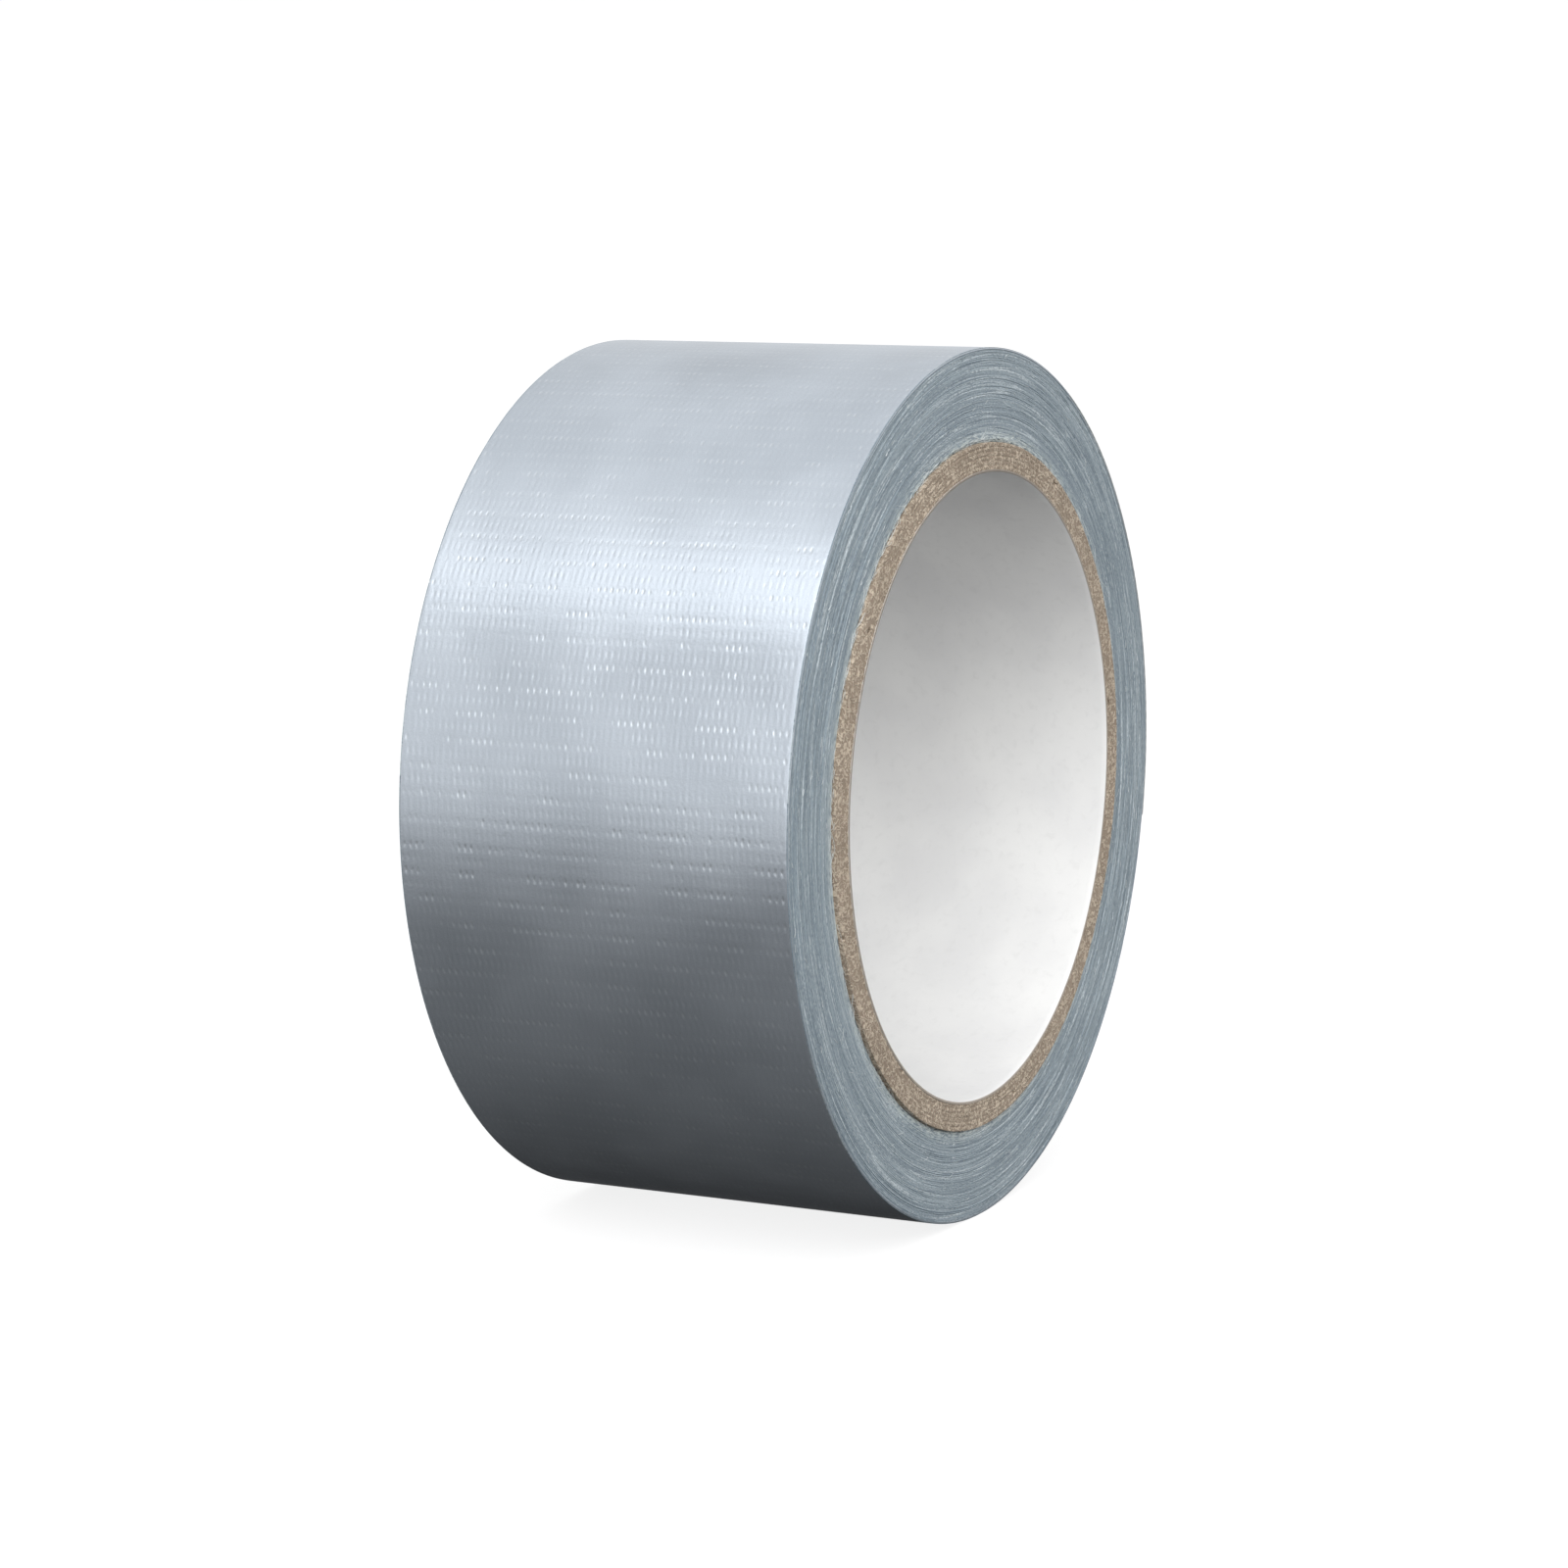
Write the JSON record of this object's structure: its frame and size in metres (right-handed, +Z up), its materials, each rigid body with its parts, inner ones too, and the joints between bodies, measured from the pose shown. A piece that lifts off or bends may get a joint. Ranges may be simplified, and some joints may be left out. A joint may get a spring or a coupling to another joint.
{
  "type": "duct tape roll",
  "caption": "Roll of silver cloth-backed adhesive tape wound on a brown spiral board core with a white lining, with a free end that peels off the roll.",
  "frame": {"origin": "centre of the bore, halfway between the two side faces", "axes": "+Y along the roll's axis, away from the side face seen in the picture; +Z up, with the roll standing on its rim; the free end of the tape lies on the +X side"},
  "size_m": [0.1058, 0.051, 0.1057],
  "materials": {
    "silver_film": "silver-grey polyethylene film with the weave of the cloth pressed through it, half gloss",
    "woven_yarn": "open white cotton and polyester weave",
    "grey_adhesive": "tacky grey rubber adhesive",
    "kraft_board": "brown kraft board, speckled where it is cut",
    "white_paper": "smooth white lining paper, matte"
  },
  "bodies": {
    "root": {"core_liner": "white_paper", "core_ply_1": "kraft_board", "core_ply_2": "kraft_board", "core_ply_3": "kraft_board", "core_ply_4": "kraft_board", "core_ply_5": "kraft_board", "core_ply_6": "kraft_board", "wound_tape": "silver_film"},
    "lead_1": {"lead_film_1": "silver_film", "lead_scrim_1": "woven_yarn", "lead_adhesive_1": "grey_adhesive"},
    "lead_2": {"lead_film_2": "silver_film", "lead_scrim_2": "woven_yarn", "lead_adhesive_2": "grey_adhesive"},
    "lead_3": {"lead_film_3": "silver_film", "lead_scrim_3": "woven_yarn", "lead_adhesive_3": "grey_adhesive"},
    "lead_4": {"lead_film_4": "silver_film", "lead_scrim_4": "woven_yarn", "lead_adhesive_4": "grey_adhesive"},
    "lead_5": {"lead_film_5": "silver_film", "lead_scrim_5": "woven_yarn", "lead_adhesive_5": "grey_adhesive"},
    "lead_6": {"lead_film_6": "silver_film", "lead_scrim_6": "woven_yarn", "lead_adhesive_6": "grey_adhesive"},
    "lead_7": {"lead_film_7": "silver_film", "lead_scrim_7": "woven_yarn", "lead_adhesive_7": "grey_adhesive"},
    "lead_8": {"lead_film_8": "silver_film", "lead_scrim_8": "woven_yarn", "lead_adhesive_8": "grey_adhesive"}
  },
  "joints": [
    {"name": "tape_peel", "type": "hinge", "parent": "root", "child": "lead_1", "pos_m": [0.02587, 0, 0.0462], "axis": [0, -1, 0], "range_deg": [0, 75]},
    {"name": "lead_bend_2", "type": "hinge", "parent": "lead_1", "child": "lead_2", "pos_m": [0.03279, 0, 0.04159], "axis": [0, -1, 0], "range_deg": [0, 9]},
    {"name": "lead_bend_3", "type": "hinge", "parent": "lead_2", "child": "lead_3", "pos_m": [0.03889, 0, 0.03595], "axis": [0, -1, 0], "range_deg": [0, 9]},
    {"name": "lead_bend_4", "type": "hinge", "parent": "lead_3", "child": "lead_4", "pos_m": [0.04404, 0, 0.02943], "axis": [0, -1, 0], "range_deg": [0, 9]},
    {"name": "lead_bend_5", "type": "hinge", "parent": "lead_4", "child": "lead_5", "pos_m": [0.04811, 0, 0.02218], "axis": [0, -1, 0], "range_deg": [0, 9]},
    {"name": "lead_bend_6", "type": "hinge", "parent": "lead_5", "child": "lead_6", "pos_m": [0.05099, 0, 0.01438], "axis": [0, -1, 0], "range_deg": [0, 9]},
    {"name": "lead_bend_7", "type": "hinge", "parent": "lead_6", "child": "lead_7", "pos_m": [0.05262, 0, 0.00623], "axis": [0, -1, 0], "range_deg": [0, 9]},
    {"name": "lead_bend_8", "type": "hinge", "parent": "lead_7", "child": "lead_8", "pos_m": [0.05295, 0, -0.00208], "axis": [0, -1, 0], "range_deg": [0, 9]}
  ],
  "couplings": [
    {"joint": "lead_bend_2", "follows": "tape_peel", "ratio": 0.12},
    {"joint": "lead_bend_3", "follows": "tape_peel", "ratio": 0.12},
    {"joint": "lead_bend_4", "follows": "tape_peel", "ratio": 0.12},
    {"joint": "lead_bend_5", "follows": "tape_peel", "ratio": 0.12},
    {"joint": "lead_bend_6", "follows": "tape_peel", "ratio": 0.12},
    {"joint": "lead_bend_7", "follows": "tape_peel", "ratio": 0.12},
    {"joint": "lead_bend_8", "follows": "tape_peel", "ratio": 0.12}
  ]
}
